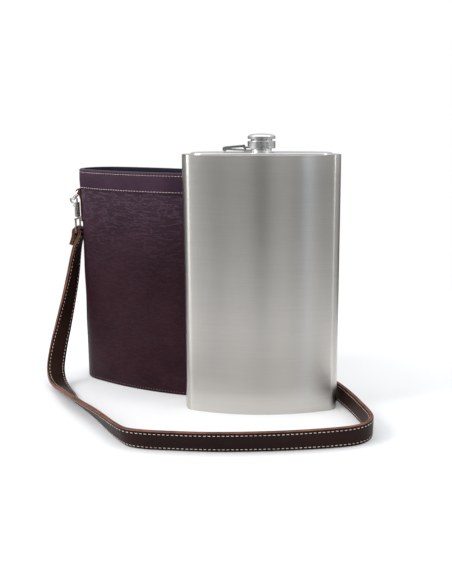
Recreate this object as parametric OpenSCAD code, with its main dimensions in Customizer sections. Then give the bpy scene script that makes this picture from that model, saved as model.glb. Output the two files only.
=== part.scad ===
// Canteen: a jumbo stainless flask with a captive screw cap, standing beside its leather carrier,
// whose shoulder strap is snapped to both ends and lies on the ground round the flask.
// Millimetres. The origin is the middle of the flask's base, +X to the flask's right, +Z up.

/* [Flask] */
// Width of the flask body
flask_w = 152; // [140:1:160]
// Thickness of the flask body through the middle
flask_t = 57; // [54:1:58]
// Height of the flask's side walls
flask_h = 251.5; // [240:0.5:260]
// Thickness of the steel sheet
sheet_t = 0.8; // [0.6:0.1:1.2]
// Radius of the bowed front and back faces
face_r = 182; // [160:1:220]
// Radius of the rounded sides
side_r = 20.8; // [19:0.1:22]
// Height of the raised middle of the top plate
plateau_h = 2; // [1:0.5:3]

/* [Neck and cap] */
// Outer radius of the neck tube
neck_r = 8.1; // [8:0.1:8.2]
// Bore radius of the neck tube
mouth_r = 6.2; // [5.5:0.1:6.4]
// Height of the neck above the plateau
neck_h = 11; // [10.5:0.5:11]
// Pitch of the screw thread
thread_pitch = 2.5; // [2.4:0.1:2.6]
// Radius of the cap's top disc
cap_r = 13.2; // [12.5:0.1:14]
// Outer radius of the captive ring
ring_r = 13.25; // [13:0.05:13.5]
// Distance between the pivots of each retaining link
link_pitch = 19.5; // [19:0.5:21]

/* [Carrier] */
// Length of the oval carrier
case_l = 166.4; // [166:0.2:172]
// Depth of the oval carrier
case_d = 68.4; // [68:0.2:72]
// Height of the carrier
case_h = 231.5; // [220:0.5:240]
// Radius of the carrier's bowed faces
case_face_r = 286; // [250:1:320]
// Thickness of the outer leather
leather_t = 1.6; // [1.2:0.1:2]
// Thickness of the stiffening board
board_t = 1.2; // [0.8:0.1:1.4]
// Thickness of the lining
lining_t = 0.6; // [0.4:0.1:0.8]
// Height of the stitched band round the rim
band_h = 21; // [18:0.5:24]
// Where the carrier stands, measured from the flask
case_x = -119; // [-121:1:-117]
// How far the carrier stands behind the flask
case_y = 82; // [81:1:86]
// How far the carrier is turned, clockwise from above
case_yaw = 28.5; // [27:0.5:30]

/* [Strap and hardware] */
// Width of the strap
strap_w = 19; // [18:0.5:20]
// Thickness of the strap, both layers together
strap_t = 4.2; // [3.6:0.1:4.4]
// Wire radius of the D-rings
wire_r = 1.1; // [1:0.05:1.2]
// Height of the D-rings' pivots
pivot_z = 207; // [206:1:208]

/* [Hidden] */
$fn = 64;

// Flask
side_x = flask_w / 2 - side_r;
face_y = face_r - flask_t / 2;
top_z = flask_h + plateau_h;
lip_z = top_z + neck_h;

// Cap linkage
bracket_top = top_z + 3.4;
ring_z = top_z + 3.7;
pivot_x = -15.5;
low_pivot_z = top_z + 1.9;
high_pivot_z = top_z + 4.1;
link_rise = asin((high_pivot_z - low_pivot_z) / 2 / link_pitch);
knuckle_x = pivot_x - link_pitch * cos(link_rise);
knuckle_z = (low_pivot_z + high_pivot_z) / 2;
pin_r = 0.7;
pin_bore_r = 0.74;
eye_r = 1.3;
knuckle_r = 2.2;
lower_half_w = 1.6;

// Carrier
case_end_r = (pow(case_face_r, 2) - pow(case_l / 2, 2) - pow(case_face_r - case_d / 2, 2))
    / (2 * (case_face_r - case_l / 2));
case_end_x = case_l / 2 - case_end_r;
wall_t = leather_t + board_t + lining_t;
band_t = 1.2;
thread_t = 0.4;
seam_h = 0.7;
tab_t = 1.6;
tab_w = 12.6;
tab_low_z = 174;

// Hardware, measured outwards from the carrier's wall
pivot_out = 2.8;
ring_half_w = 8;
ring_reach = 11;
ring_lean = 35.5;
hook_out = 5.8;
bow_out = hook_out + 2.7;
bow_r = 3.95;
bow_z = 197.5;
bolt_r = 0.95;
barrel_r = 2.75;
barrel_low_z = 179;
barrel_top_z = 194.8;
bar_z = 163;
bar_r = 1.1;
eye_half_w = 10.8;
fold_r = 3.4;

left_x = case_x - case_end_x * cos(case_yaw) - case_end_r;
left_y = case_y + case_end_x * sin(case_yaw);
right_x = 2 * case_x - left_x;
right_y = 2 * case_y - left_y;

// ---------- curves and sweeps ----------

function arc(cx, cy, r, from, to, n) =
    [for (i = [0:n]) let (a = from + (to - from) * i / n) [cx + r * cos(a), cy + r * sin(a)]];

// The angle at which a bowed face meets the rounded side, seen from the face's centre, when the
// outline is grown by g and the sides are drawn in by d.
function crease(g, d) =
    let (a = side_x - d, b = face_y, r = face_r + g, s = side_r + g,
         h = norm([a, b]), t = acos((r * r + h * h - s * s) / (2 * r * h)))
    atan2(b, a) - t;

function flask_outline(g = 0, d = 0) =
    let (f = crease(g, d), x = (face_r + g) * cos(f), y = (face_r + g) * sin(f) - face_y,
         s = atan2(y, x - side_x + d))
    concat(
        arc(side_x - d, 0, side_r + g, -s, s, 16),
        arc(0, -face_y, face_r + g, f, 180 - f, 24),
        arc(d - side_x, 0, side_r + g, 180 - s, 180 + s, 16),
        arc(0, face_y, face_r + g, 180 + f, 360 - f, 24));

function case_outline(g = 0) =
    let (y = case_face_r - case_d / 2, f = atan2(y, case_end_x))
    concat(
        arc(case_end_x, 0, case_end_r + g, -f, f, 24),
        arc(0, -y, case_face_r + g, f, 180 - f, 24),
        arc(-case_end_x, 0, case_end_r + g, 180 - f, 180 + f, 24),
        arc(0, y, case_face_r + g, 180 + f, 360 - f, 24));

function unit(v) = v / norm(v);

function curve_at(a, b, c, d, t) =
    0.5 * (2 * b + (c - a) * t + (2 * a - 5 * b + 4 * c - d) * t * t
        + (3 * b - a - 3 * c + d) * t * t * t);

function smooth(r, n) = concat(
    [for (i = [0:len(r) - 2]) for (k = [0:n - 1])
        curve_at(r[max(i - 1, 0)], r[i], r[i + 1], r[min(i + 2, len(r) - 1)], k / n)],
    [r[len(r) - 1]]);

// Closed skin over rings of four corners each. Turning the diagonals lets two skins share a face.
module skin(rings, turned = false) {
    last = len(rings) - 1;
    sides = [for (i = [0:last - 1]) for (k = [0:3])
        let (a = 4 * i + k, b = 4 * i + (k + 1) % 4, c = a + 4, d = b + 4)
        each turned ? [[a, c, b], [b, c, d]] : [[a, d, b], [a, c, d]]];
    ends = [[0, 1, 2], [0, 2, 3], [4 * last + 2, 4 * last + 1, 4 * last],
        [4 * last + 3, 4 * last + 2, 4 * last]];
    polyhedron(points = [for (r = rings) each r], faces = concat(sides, ends), convexity = 8);
}

// Helical rib of trapezoid section on radius r, reaching out to r + out, which may be negative.
module thread_rib(r, out, low_z, turns) {
    steps = round(turns * 28);
    inner = r - 0.3 * sign(out);
    buried = r - 0.15 * sign(out);
    skin([for (i = [0:steps]) let (a = i * 360 * turns / steps, z = low_z + thread_pitch * a / 360,
        fade = min(1, i / 7, (steps - i) / 7), tip = buried + (r + out - buried) * fade)
        [for (q = out > 0 ? [[inner, -0.62], [inner, 0.62], [tip, 0.3], [tip, -0.3]]
                : [[inner, 0.62], [inner, -0.62], [tip, -0.3], [tip, 0.3]])
            [q[0] * cos(a), q[0] * sin(a), z + q[1]]]]);
}

module tube(r, bore, z, h) {
    translate([0, 0, z]) difference() {
        cylinder(h = h, r = r);
        translate([0, 0, -1]) cylinder(h = h + 2, r = bore);
    }
}

// Solid bar of radius r along Y, centred at (x, z).
module bar_y(x, z, r, half) {
    translate([x, half, z]) rotate([90, 0, 0]) cylinder(h = 2 * half, r = r);
}

// ---------- flask ----------

module half_wall(front) {
    intersection() {
        linear_extrude(flask_h) difference() {
            polygon(flask_outline());
            polygon(flask_outline(-sheet_t));
        }
        translate([-flask_w, front ? -flask_w : 0, -1]) cube([2 * flask_w, flask_w, flask_h + 2]);
    }
}

module front_shell() { color("silver") half_wall(true); }

module back_shell() { color("silver") half_wall(false); }

module top_plate() {
    plateau_in = 4;
    color("gainsboro") difference() {
        union() {
            translate([0, 0, flask_h - sheet_t]) linear_extrude(sheet_t) polygon(flask_outline(-sheet_t));
            translate([0, 0, flask_h - sheet_t]) linear_extrude(sheet_t + plateau_h)
                polygon(flask_outline(-plateau_in, plateau_in));
        }
        translate([0, 0, flask_h - 2]) linear_extrude(2 + plateau_h - sheet_t)
            polygon(flask_outline(-plateau_in - sheet_t, plateau_in));
        translate([0, 0, flask_h - 5]) cylinder(h = 20, r = neck_r);
    }
}

module base_plate() {
    color("gainsboro") linear_extrude(sheet_t) polygon(flask_outline(-sheet_t));
}

module neck() {
    color("silver") union() {
        tube(neck_r, mouth_r, top_z - 3.5, neck_h + 3.5);
        thread_rib(neck_r, 0.8, top_z + 4.6, 2.2);
    }
}

module hinge_bracket() {
    ear_y = 1.7;
    ear_t = 0.7;
    color("silver") difference() {
        union() {
            tube(neck_r + 1.5, neck_r, top_z, bracket_top - top_z);
            difference() {
                translate([pivot_x - 1.6, -ear_y - ear_t, top_z]) cube([8, 2 * (ear_y + ear_t), 0.5]);
                translate([0, 0, top_z - 1]) cylinder(h = 3, r = neck_r + 0.8);
            }
            for (y = [-ear_y - ear_t, ear_y]) translate([0, y, 0]) {
                translate([pivot_x, ear_t, low_pivot_z]) rotate([90, 0, 0]) cylinder(h = ear_t, r = eye_r);
                translate([pivot_x - eye_r, 0, top_z]) cube([2 * eye_r, ear_t, 1.9]);
                translate([pivot_x, 0, top_z]) cube([6.9, ear_t, 2.4]);
            }
        }
        bar_y(pivot_x, low_pivot_z, pin_r, 6);
        translate([0, 0, top_z - 1]) cylinder(h = 6, r = neck_r);
    }
}

module bracket_pin() { color("gray") bar_y(pivot_x, low_pivot_z, pin_r, 2.4); }

// ---------- cap and its retaining links ----------

module cap_shell() {
    skirt_r = 10.3;
    bore = 9.8;
    low_z = ring_z + 1;
    flange_z = ring_z + 4.2;
    color("whitesmoke") rotate_extrude() polygon(concat(
        [[0, top_z + 12.3], [bore, top_z + 12.3], [bore, low_z], [skirt_r, low_z],
         [skirt_r, flange_z], [skirt_r + 1, flange_z], [skirt_r + 1, flange_z + 1.2],
         [skirt_r, flange_z + 1.2], [skirt_r, top_z + 12.5], [cap_r - 0.3, top_z + 12.5],
         [cap_r, top_z + 12.8], [cap_r, top_z + 14.9], [cap_r - 0.4, top_z + 15.3]],
        [for (a = [15:15:90]) [(cap_r - 0.8) * cos(a), top_z + 15.6 + 1.9 * sin(a)]]));
}

module cap_insert() {
    bore = 9.2;
    color("silver") union() {
        tube(9.8, bore, ring_z + 1, 7.6);
        thread_rib(bore, -0.8, top_z + 4.6 + thread_pitch / 2, 1.6);
    }
}

module cap_liner() {
    color("dimgray") translate([0, 0, lip_z + 0.12]) cylinder(h = 1.18, r = 9.2);
}

module cap_ring() {
    lug_y = 2.6;
    lug_t = 0.7;
    lip_r = 10.39;
    color("whitesmoke") difference() {
        union() {
            translate([0, 0, ring_z]) cylinder(h = 6.7, r = ring_r);
            for (y = [-lug_y - lug_t, lug_y]) translate([0, y, 0]) {
                translate([pivot_x, lug_t, high_pivot_z]) rotate([90, 0, 0]) cylinder(h = lug_t, r = eye_r);
                translate([pivot_x, 0, high_pivot_z - 0.4]) cube([3.4, lug_t, 1.7]);
            }
        }
        translate([0, 0, ring_z + 0.6]) cylinder(h = 5, r = 11.5);
        translate([0, 0, ring_z - 1]) cylinder(h = 2, r = 10.6);
        translate([0, 0, ring_z + 5]) cylinder(h = 3, r = lip_r);
        bar_y(pivot_x, high_pivot_z, pin_r, 6);
    }
}

module ring_pin() { color("gray") bar_y(pivot_x, high_pivot_z, pin_r, 4.4); }

module lower_link() {
    half_t = 0.9;
    color("whitesmoke") difference() {
        translate([0, lower_half_w, 0]) rotate([90, 0, 0]) linear_extrude(2 * lower_half_w) {
            translate([pivot_x, low_pivot_z]) circle(r = eye_r);
            translate([knuckle_x, knuckle_z]) circle(r = 1.6);
            polygon([[knuckle_x, knuckle_z - half_t], [pivot_x, low_pivot_z - half_t],
                [pivot_x, low_pivot_z + half_t], [knuckle_x, knuckle_z + half_t]]);
        }
        bar_y(pivot_x, low_pivot_z, pin_bore_r, 6);
        bar_y(knuckle_x, knuckle_z, pin_bore_r, 6);
    }
}

module upper_link() {
    half_w = 4;
    cheek_t = 0.6;
    color("whitesmoke") difference() {
        union() {
            for (y = [-half_w + cheek_t, half_w]) translate([0, y, 0]) rotate([90, 0, 0])
                linear_extrude(cheek_t) {
                    polygon([[knuckle_x - 0.6, knuckle_z + 0.4], [knuckle_x + 1, knuckle_z - 0.6],
                        [knuckle_x + 3, knuckle_z + 0.7], [pivot_x - 2.4, high_pivot_z + 0.5],
                        [pivot_x - 0.6, high_pivot_z - 0.8], [pivot_x + 0.5, high_pivot_z + 0.8],
                        [pivot_x - 0.6, high_pivot_z + 2.9], [knuckle_x + 0.4, knuckle_z + 2.4]]);
                    translate([pivot_x, high_pivot_z]) circle(r = eye_r);
                }
            for (s = [-1, 1]) translate([0, s * (half_w + lower_half_w + 0.15) / 2, 0])
                bar_y(knuckle_x, knuckle_z, knuckle_r, (half_w - lower_half_w - 0.15) / 2);
            translate([0, half_w, 0]) rotate([90, 0, 0]) linear_extrude(2 * half_w)
                polygon([[knuckle_x + 0.4, knuckle_z + 1.75], [pivot_x - 1.9, high_pivot_z + 2.1],
                    [pivot_x - 1.9, high_pivot_z + 2.8], [knuckle_x + 0.4, knuckle_z + 2.4]]);
        }
        bar_y(pivot_x, high_pivot_z, pin_bore_r, 6);
        bar_y(knuckle_x, knuckle_z, pin_r, 6);
    }
}

module knuckle_pin() { color("gray") bar_y(knuckle_x, knuckle_z, pin_r, 4); }

// ---------- carrier ----------

module at_case() { translate([case_x, case_y, 0]) rotate([0, 0, -case_yaw]) children(); }

module oval_wall(out, inside, low, high) {
    at_case() translate([0, 0, low]) linear_extrude(high - low) difference() {
        polygon(case_outline(out));
        polygon(case_outline(inside));
    }
}

module oval_plate(g, low, high) {
    at_case() translate([0, 0, low]) linear_extrude(high - low) polygon(case_outline(g));
}

module carrier_shell() { color([0.2, 0.11, 0.14]) oval_wall(0, -leather_t, 0, case_h - band_t); }

module carrier_stiffener() {
    color("peru") oval_wall(-leather_t, -leather_t - board_t, leather_t, case_h - band_t);
}

module carrier_lining() {
    color([0.1, 0.1, 0.15]) oval_wall(-leather_t - board_t, -wall_t, leather_t + 2, case_h - band_t);
}

module carrier_base() { color([0.2, 0.11, 0.14]) oval_plate(-leather_t, 0, leather_t); }

module base_board() { color("peru") oval_plate(-leather_t - board_t, leather_t, leather_t + 2); }

module base_lining() { color([0.1, 0.1, 0.15]) oval_plate(-wall_t, leather_t + 2, leather_t + 3); }

module rim_band() {
    color([0.24, 0.15, 0.19]) {
        oval_wall(band_t, 0, case_h - band_h, case_h);
        oval_wall(0, -wall_t, case_h - band_t, case_h);
    }
}

module seam(out, z) { color("bisque") oval_wall(out + thread_t, out, z, z + seam_h); }

module rim_thread_upper() { seam(band_t, case_h - 3.4); }

module rim_thread_lower() { seam(band_t, case_h - band_h + 1.2); }

module base_thread() { seam(0, 2.6); }

module at_end(right) {
    translate(right ? [right_x, right_y, 0] : [left_x, left_y, 0]) rotate([0, 0, right ? 0 : 180]) children();
}

// Leather tab sewn to the wall, with a loop for the D-ring's straight side.
module tab(right) {
    color([0.2, 0.11, 0.14]) union() {
        intersection() {
            oval_wall(tab_t, 0, tab_low_z, pivot_z);
            at_end(right) translate([-20, -tab_w / 2, tab_low_z - 1]) cube([40, tab_w, 60]);
        }
        at_end(right) difference() {
            bar_y(pivot_out, pivot_z, pivot_out - 0.1, tab_w / 2);
            bar_y(pivot_out, pivot_z, wire_r + 0.08, tab_w);
        }
    }
}

module d_ring(right) {
    straight = ring_reach - ring_half_w;
    color("gainsboro") at_end(right) translate([pivot_out, 0, pivot_z])
        rotate([0, 90 - ring_lean, 0]) union() {
            bar_y(0, 0, wire_r, ring_half_w);
            for (s = [-1, 1]) translate([0, s * ring_half_w, 0]) {
                sphere(r = wire_r);
                rotate([0, 90, 0]) cylinder(h = straight, r = wire_r);
            }
            translate([straight, 0, 0]) rotate([0, 0, -90]) rotate_extrude(angle = 180)
                translate([ring_half_w, 0]) circle(r = wire_r);
        }
}

// Snap hook: a barrel that holds the bolt and its spring, and a bow that the bolt closes.
module hook(right) {
    tip = acos((bow_out - hook_out) / bow_r);
    root = 262;
    color("gainsboro") at_end(right) union() {
        translate([hook_out, 0, 0]) difference() {
            translate([0, 0, barrel_low_z]) cylinder(h = barrel_top_z - barrel_low_z, r = barrel_r);
            translate([0, 0, barrel_low_z + 2.6]) cylinder(h = 10.2, r = 1.85);
            translate([0, 0, barrel_low_z - 1]) cylinder(h = 6, r = 1.06);
            translate([0, 0, barrel_top_z - 4]) cylinder(h = 9, r = bolt_r + 0.1);
            translate([0, -1.05, barrel_low_z + 6.9]) cube([4, 2.1, 5.9]);
        }
        translate([bow_out, 0, bow_z]) rotate([90, 0, 0]) rotate([0, 0, root])
            rotate_extrude(angle = 540 - root - tip) translate([bow_r, 0]) circle(r = 1.1);
    }
}

module bolt(right) {
    piston_z = barrel_low_z + 10.6;
    color("gainsboro") at_end(right) translate([hook_out, 0, 0]) union() {
        translate([0, 0, piston_z]) cylinder(h = 198.9 - piston_z, r = bolt_r);
        translate([0, 0, piston_z]) cylinder(h = 2, r = 1.75);
        translate([0, 0, piston_z + 1]) rotate([0, 90, 0]) cylinder(h = 3.9, r = 0.9);
        translate([3.7, 0, piston_z + 1]) rotate([0, 90, 0]) cylinder(h = 0.8, r = 1.5);
    }
}

module spring(right) {
    turns = 4.5;
    low_z = barrel_low_z + 4.5;
    high_z = barrel_low_z + 10.2;
    color("gray") at_end(right) translate([hook_out, 0, 0]) skin([for (i = [0:turns * 10])
        let (a = 36 * i, z = low_z + (high_z - low_z) * i / (turns * 10))
        [for (q = [[1, -0.28], [1, 0.28], [1.55, 0.28], [1.55, -0.28]])
            [q[0] * cos(a), q[0] * sin(a), z + q[1]]]]);
}

module swivel_eye(right) {
    top_bar_z = barrel_low_z - 1.8;
    color("gainsboro") at_end(right) translate([hook_out, 0, 0]) union() {
        translate([0, 0, top_bar_z]) cylinder(h = 5.4, r = 1);
        translate([0, 0, barrel_low_z + 2.8]) cylinder(h = 1.1, r = 1.7);
        for (z = [bar_z, top_bar_z]) bar_y(0, z, bar_r, eye_half_w + bar_r);
        for (s = [-1, 1]) translate([0, s * eye_half_w, bar_z])
            cylinder(h = top_bar_z - bar_z, r = bar_r - 0.15);
    }
}

// ---------- strap ----------

// A station of the strap is [x, y, z, yaw, roll]: its middle, and the way its width points.
// Roll 0 lays the width flat, roll 90 stands the strap on its edge.
function lying(x, y, yaw, roll) =
    [x, y, 0.1 + strap_w / 2 * abs(sin(roll)) + strap_t / 2 * abs(cos(roll)), yaw, roll];

function hanging(x, y, z, yaw, roll = 0) = [x, y, z, yaw, roll];

left_fold = [for (a = [0:30:180])
    [left_x - hook_out - fold_r * cos(a), left_y, bar_z + fold_r * sin(a), 90, 0]];
right_fold = [for (a = [0:30:180])
    [right_x + hook_out - fold_r * cos(a), right_y, bar_z + fold_r * sin(a), 270, 180]];

strap_route = concat(
    [hanging(-208.3, 108, 149, 90), hanging(-206.3, 108, 154.5, 90), hanging(-205, 108, 159.5, 90)],
    left_fold,
    [hanging(-198.3, 108, 159.3, 88), hanging(-200, 107.9, 154.5, 84),
     hanging(-202.6, 107.2, 147, 78), hanging(-205, 105.6, 135, 72),
     hanging(-207.2, 103, 120, 65), hanging(-209.7, 100, 105, 59), hanging(-212.5, 96.5, 90, 54),
     hanging(-215.5, 92.5, 75, 48), hanging(-218.5, 88, 60, 41), hanging(-221.5, 82.5, 45, 36),
     hanging(-223.5, 76, 31, 33), hanging(-223.8, 67.5, 18, 30, 6), hanging(-220, 57, 9, 27, 13)],
    [lying(-212, 42, 24, 19), lying(-203, 24, 23, 27), lying(-192, 0, 26, 42), lying(-181, -17, 29, 48),
     lying(-169, -35, 30, 53), lying(-155, -57, 29, 62), lying(-141, -80, 30, 69), lying(-130, -97, 36, 71),
     lying(-119, -110, 52, 73), lying(-103, -116, 75, 76), lying(-80, -119, 83, 76),
     lying(-54, -121.5, 87, 77),
     lying(-30, -122, 90, 78), lying(-5, -121, 93, 79), lying(20, -119, 96, 80), lying(45, -115.5, 99, 82),
     lying(66, -111.5, 103, 84), lying(80, -107.5, 110, 86), lying(91, -101, 128, 87),
     lying(98, -91, 152, 88),
     lying(100.5, -80, 174, 88), lying(99.5, -67, 187, 88), lying(95.5, -47, 193, 88),
     lying(89, -19, 194, 88),
     lying(80, 12, 198, 90), lying(70, 31, 213, 90), lying(56, 45, 230, 94), lying(38, 54, 247, 106),
     lying(20, 58.5, 259, 124), lying(3, 60, 266, 146), lying(-10, 60, 268, 162)],
    [hanging(-21, 59.5, 7, 269, 170), hanging(-29, 59, 15, 270, 176), hanging(-33, 58.5, 28, 270, 180),
     hanging(-34.5, 58, 45, 270, 180), hanging(-34.8, 57.5, 65, 270, 180), hanging(-34.6, 57, 88, 270, 180),
     hanging(-34.4, 56.5, 112, 270, 180), hanging(-35, 56.2, 132, 270, 180),
     hanging(-37, 56, 147, 270, 180), hanging(-38.9, 56, 154.5, 270, 180),
     hanging(-39.8, 56, 159.3, 270, 180)],
    right_fold,
    [hanging(-33, 56, 159.5, 270, 180), hanging(-31.7, 56, 154.5, 270, 180),
     hanging(-29.7, 56, 149, 270, 180)]);

strap_line = smooth(strap_route, 2);

function strap_frame(i) =
    let (last = len(strap_line) - 1, p = strap_line[i], a = strap_line[max(i - 1, 0)],
         b = strap_line[min(i + 1, last)], t = unit([b[0] - a[0], b[1] - a[1], b[2] - a[2]]),
         w = [cos(p[4]) * cos(p[3]), cos(p[4]) * sin(p[3]), -sin(p[4])], across = unit(w - (w * t) * t))
    [[p[0], p[1], p[2]], across, cross(t, across)];

// One leather layer of the strap, between two depths through its thickness.
module strap_layer(from, to, turned) {
    skin([for (i = [0:len(strap_line) - 1]) let (f = strap_frame(i))
        [for (q = [[-1, from], [1, from], [1, to], [-1, to]])
            f[0] + f[1] * q[0] * strap_w / 2 + f[2] * q[1]]],
        turned);
}

module strap_outer() { color([0.14, 0.09, 0.08]) strap_layer(-strap_t / 2, 0, false); }

module strap_inner() { color([0.14, 0.09, 0.08]) strap_layer(0, strap_t / 2, true); }

front_shell();
back_shell();
top_plate();
base_plate();
neck();
hinge_bracket();
bracket_pin();
cap_shell();
cap_insert();
cap_liner();
cap_ring();
ring_pin();
lower_link();
upper_link();
knuckle_pin();
carrier_shell();
carrier_stiffener();
carrier_lining();
carrier_base();
base_board();
base_lining();
rim_band();
rim_thread_upper();
rim_thread_lower();
base_thread();
tab(false);  // left_tab
tab(true);  // right_tab
d_ring(false);  // left_d_ring
d_ring(true);  // right_d_ring
hook(false);  // left_hook
hook(true);  // right_hook
bolt(false);  // left_bolt
bolt(true);  // right_bolt
spring(false);  // left_spring
spring(true);  // right_spring
swivel_eye(false);  // left_swivel_eye
swivel_eye(true);  // right_swivel_eye
strap_outer();
strap_inner();
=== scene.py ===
"""The looks of a canteen set: a brushed steel flask with a captive cap, its leather carrier and its strap.

Every length in the classes is in millimetres. A finished mesh is scaled to the frame's metres once, when it is
published as a piece. The frame's origin is the middle of the flask's underside, +X to the flask's right, +Y to its
back and +Z up.
"""

import logging
import math
import random
from dataclasses import dataclass, field
from enum import Enum
from typing import Iterable, Sequence

import bmesh
import bpy
from bmesh.types import BMEdge, BMesh, BMFace, BMVert
from mathutils import Matrix, Vector


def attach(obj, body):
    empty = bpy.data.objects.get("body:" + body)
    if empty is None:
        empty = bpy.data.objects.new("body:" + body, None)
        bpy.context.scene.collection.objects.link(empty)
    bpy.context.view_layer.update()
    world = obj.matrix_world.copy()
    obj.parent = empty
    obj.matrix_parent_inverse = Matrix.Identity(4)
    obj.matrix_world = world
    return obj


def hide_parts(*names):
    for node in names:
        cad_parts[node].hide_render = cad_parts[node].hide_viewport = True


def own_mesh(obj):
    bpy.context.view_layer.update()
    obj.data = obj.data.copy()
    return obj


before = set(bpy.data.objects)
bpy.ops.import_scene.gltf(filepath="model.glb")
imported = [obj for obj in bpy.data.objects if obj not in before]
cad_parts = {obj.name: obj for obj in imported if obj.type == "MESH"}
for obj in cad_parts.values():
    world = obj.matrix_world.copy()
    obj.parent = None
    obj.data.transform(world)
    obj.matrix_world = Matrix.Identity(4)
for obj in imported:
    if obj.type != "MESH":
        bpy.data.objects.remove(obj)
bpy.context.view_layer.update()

MM = 0.001
CARRIER_YAW = 28.5
LOG = logging.getLogger("canteen")


class Slot(Enum):
    """Material slot names that the pieces are built with; nothing in the script reads them."""

    BODY_STEEL = "body_steel"
    PLATE_STEEL = "plate_steel"
    NECK_STEEL = "neck_steel"
    CAP_STEEL = "cap_steel"
    LINK_STEEL = "link_steel"
    PIN_STEEL = "pin_steel"
    CARRIER_LEATHER = "carrier_leather"
    BAND_LEATHER = "band_leather"
    THREAD = "thread"
    FITTING = "fitting_chrome"
    SPRING = "spring_steel"
    STRAP_LEATHER = "strap_leather"
    STRAP_LINING = "strap_lining"


class Side(Enum):
    """The two ends of the carrier, with the way that each faces along X."""

    LEFT = -1
    RIGHT = 1

    @property
    def word(self) -> str:
        """The side's name as it stands at the front of its nodes' names."""
        return self.name.lower()


# ---------------------------------------------------------------- shader graphs


class Signal:
    """One output of a shader graph, which takes part in arithmetic as a number does."""

    def __init__(self, graph: "Graph", socket: bpy.types.NodeSocket) -> None:
        """Wraps an output socket of a graph."""
        self.graph = graph
        self.socket = socket

    def math(self, operation: str, *values: "Signal | float") -> "Signal":
        """Adds one Math node, whose sockets get the values in order."""
        return self.graph.node("ShaderNodeMath", {"operation": operation}, dict(enumerate(values)))

    def __add__(self, other: "Signal | float") -> "Signal":
        """self + other"""
        return self.math("ADD", self, other)

    __radd__ = __add__

    def __sub__(self, other: "Signal | float") -> "Signal":
        """self - other"""
        return self.math("SUBTRACT", self, other)

    def __rsub__(self, other: float) -> "Signal":
        """other - self"""
        return self.math("SUBTRACT", other, self)

    def __mul__(self, other: "Signal | float") -> "Signal":
        """self * other"""
        return self.math("MULTIPLY", self, other)

    __rmul__ = __mul__

    def __truediv__(self, other: "Signal | float") -> "Signal":
        """self / other"""
        return self.math("DIVIDE", self, other)

    def __pow__(self, other: "Signal | float") -> "Signal":
        """self ** other"""
        return self.math("POWER", self, other)

    def sine(self) -> "Signal":
        """The sine of the value."""
        return self.math("SINE", self)

    def size(self) -> "Signal":
        """The value without its sign."""
        return self.math("ABSOLUTE", self)

    def bell(self, centre: float, width: float) -> "Signal":
        """A smooth hill of height 1, which falls to about a third at width from its centre."""
        off = (self - centre) / width
        return self.math("POWER", math.e, 0 - off * off)

    def spread(self, low: float, high: float, to_low: float, to_high: float) -> "Signal":
        """Maps the range from low to high to the one from to_low to to_high, and clamps to it."""
        inputs = {"Value": self, "From Min": low, "From Max": high, "To Min": to_low, "To Max": to_high}
        return self.graph.node("ShaderNodeMapRange", {}, inputs)

    def vary(self, to_low: float, to_high: float) -> "Signal":
        """Maps the middle of a noise, from 0.3 to 0.7, to a range."""
        return self.spread(0.3, 0.7, to_low, to_high)


class Graph:
    """A shader node tree that is written as expressions."""

    def __init__(self, tree: bpy.types.NodeTree) -> None:
        """Takes over an empty node tree."""
        self.tree = tree

    def node(self, kind: str, settings: dict | None = None, inputs: dict | None = None,
             output: int | str | None = 0) -> Signal | None:
        """Adds any node.

        Args:
            kind: The node's type.
            settings: Its properties, set first.
            inputs: The value or signal for each socket, by name or number.
            output: Which output is returned, or None for a node that ends the graph.

        Returns:
            The chosen output, if any.
        """
        made = self.tree.nodes.new(kind)
        for key, value in (settings or {}).items():
            setattr(made, key, value)
        for key, value in (inputs or {}).items():
            if isinstance(value, Signal):
                self.tree.links.new(value.socket, made.inputs[key])
            else:
                made.inputs[key].default_value = value
        return None if output is None else Signal(self, made.outputs[output])

    def parts(self, vector: Signal) -> list[Signal]:
        """The three parts of a vector."""
        first = self.node("ShaderNodeSeparateXYZ", {}, {"Vector": vector})
        return [Signal(self, socket) for socket in first.socket.node.outputs]

    def places(self, stretch: tuple[float, float, float] = (1, 1, 1), turn_z: float = 0.0) -> Signal:
        """The place on the object, stretched.

        Args:
            stretch: How many times a pattern repeats per metre along X, Y and Z.
            turn_z: How far the pattern is turned about the upright, in radians.

        Returns:
            A vector signal.
        """
        here = self.node("ShaderNodeTexCoord", output="Object")
        turned = self.node("ShaderNodeMapping", {}, {"Vector": here, "Rotation": (0, 0, turn_z)})
        return self.node("ShaderNodeMapping", {}, {"Vector": turned, "Scale": stretch})

    def noise(self, where: Signal, scale: float, detail: float = 2.0, rough: float = 0.5) -> Signal:
        """Soft noise from 0 to 1."""
        inputs = {"Vector": where, "Scale": scale, "Detail": detail, "Roughness": rough}
        return self.node("ShaderNodeTexNoise", {}, inputs)

    def fuzz(self, stretch: tuple[float, float, float], detail: float, rough: float = 0.5) -> Signal:
        """Soft noise that repeats so many times per metre along X, Y and Z."""
        return self.noise(self.places(stretch), 1.0, detail, rough)

    def cells(self, where: Signal, scale: float) -> Signal:
        """The distance to the nearest of many scattered points."""
        return self.node("ShaderNodeTexVoronoi", {"feature": "F1"}, {"Vector": where, "Scale": scale})

    def blend(self, share: Signal | float, first: tuple | Signal, second: tuple | Signal) -> Signal:
        """Mixes two colours, with share as how much of the second shows."""
        return self.node("ShaderNodeMix", {"data_type": "RGBA"}, {0: share, 6: first, 7: second}, 2)

    def bump(self, height: Signal, distance: float, strength: float = 1.0) -> Signal:
        """Turns a height from 0 to 1 into a normal. The distance is how far 1 stands out, in millimetres."""
        return self.node("ShaderNodeBump", {}, {"Height": height, "Distance": distance * MM, "Strength": strength})


def clear_graph(owner: bpy.types.Material | bpy.types.World) -> Graph:
    """Takes over a material's or a world's node tree, emptied."""
    owner.use_nodes = True
    owner.node_tree.nodes.clear()
    return Graph(owner.node_tree)


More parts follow.
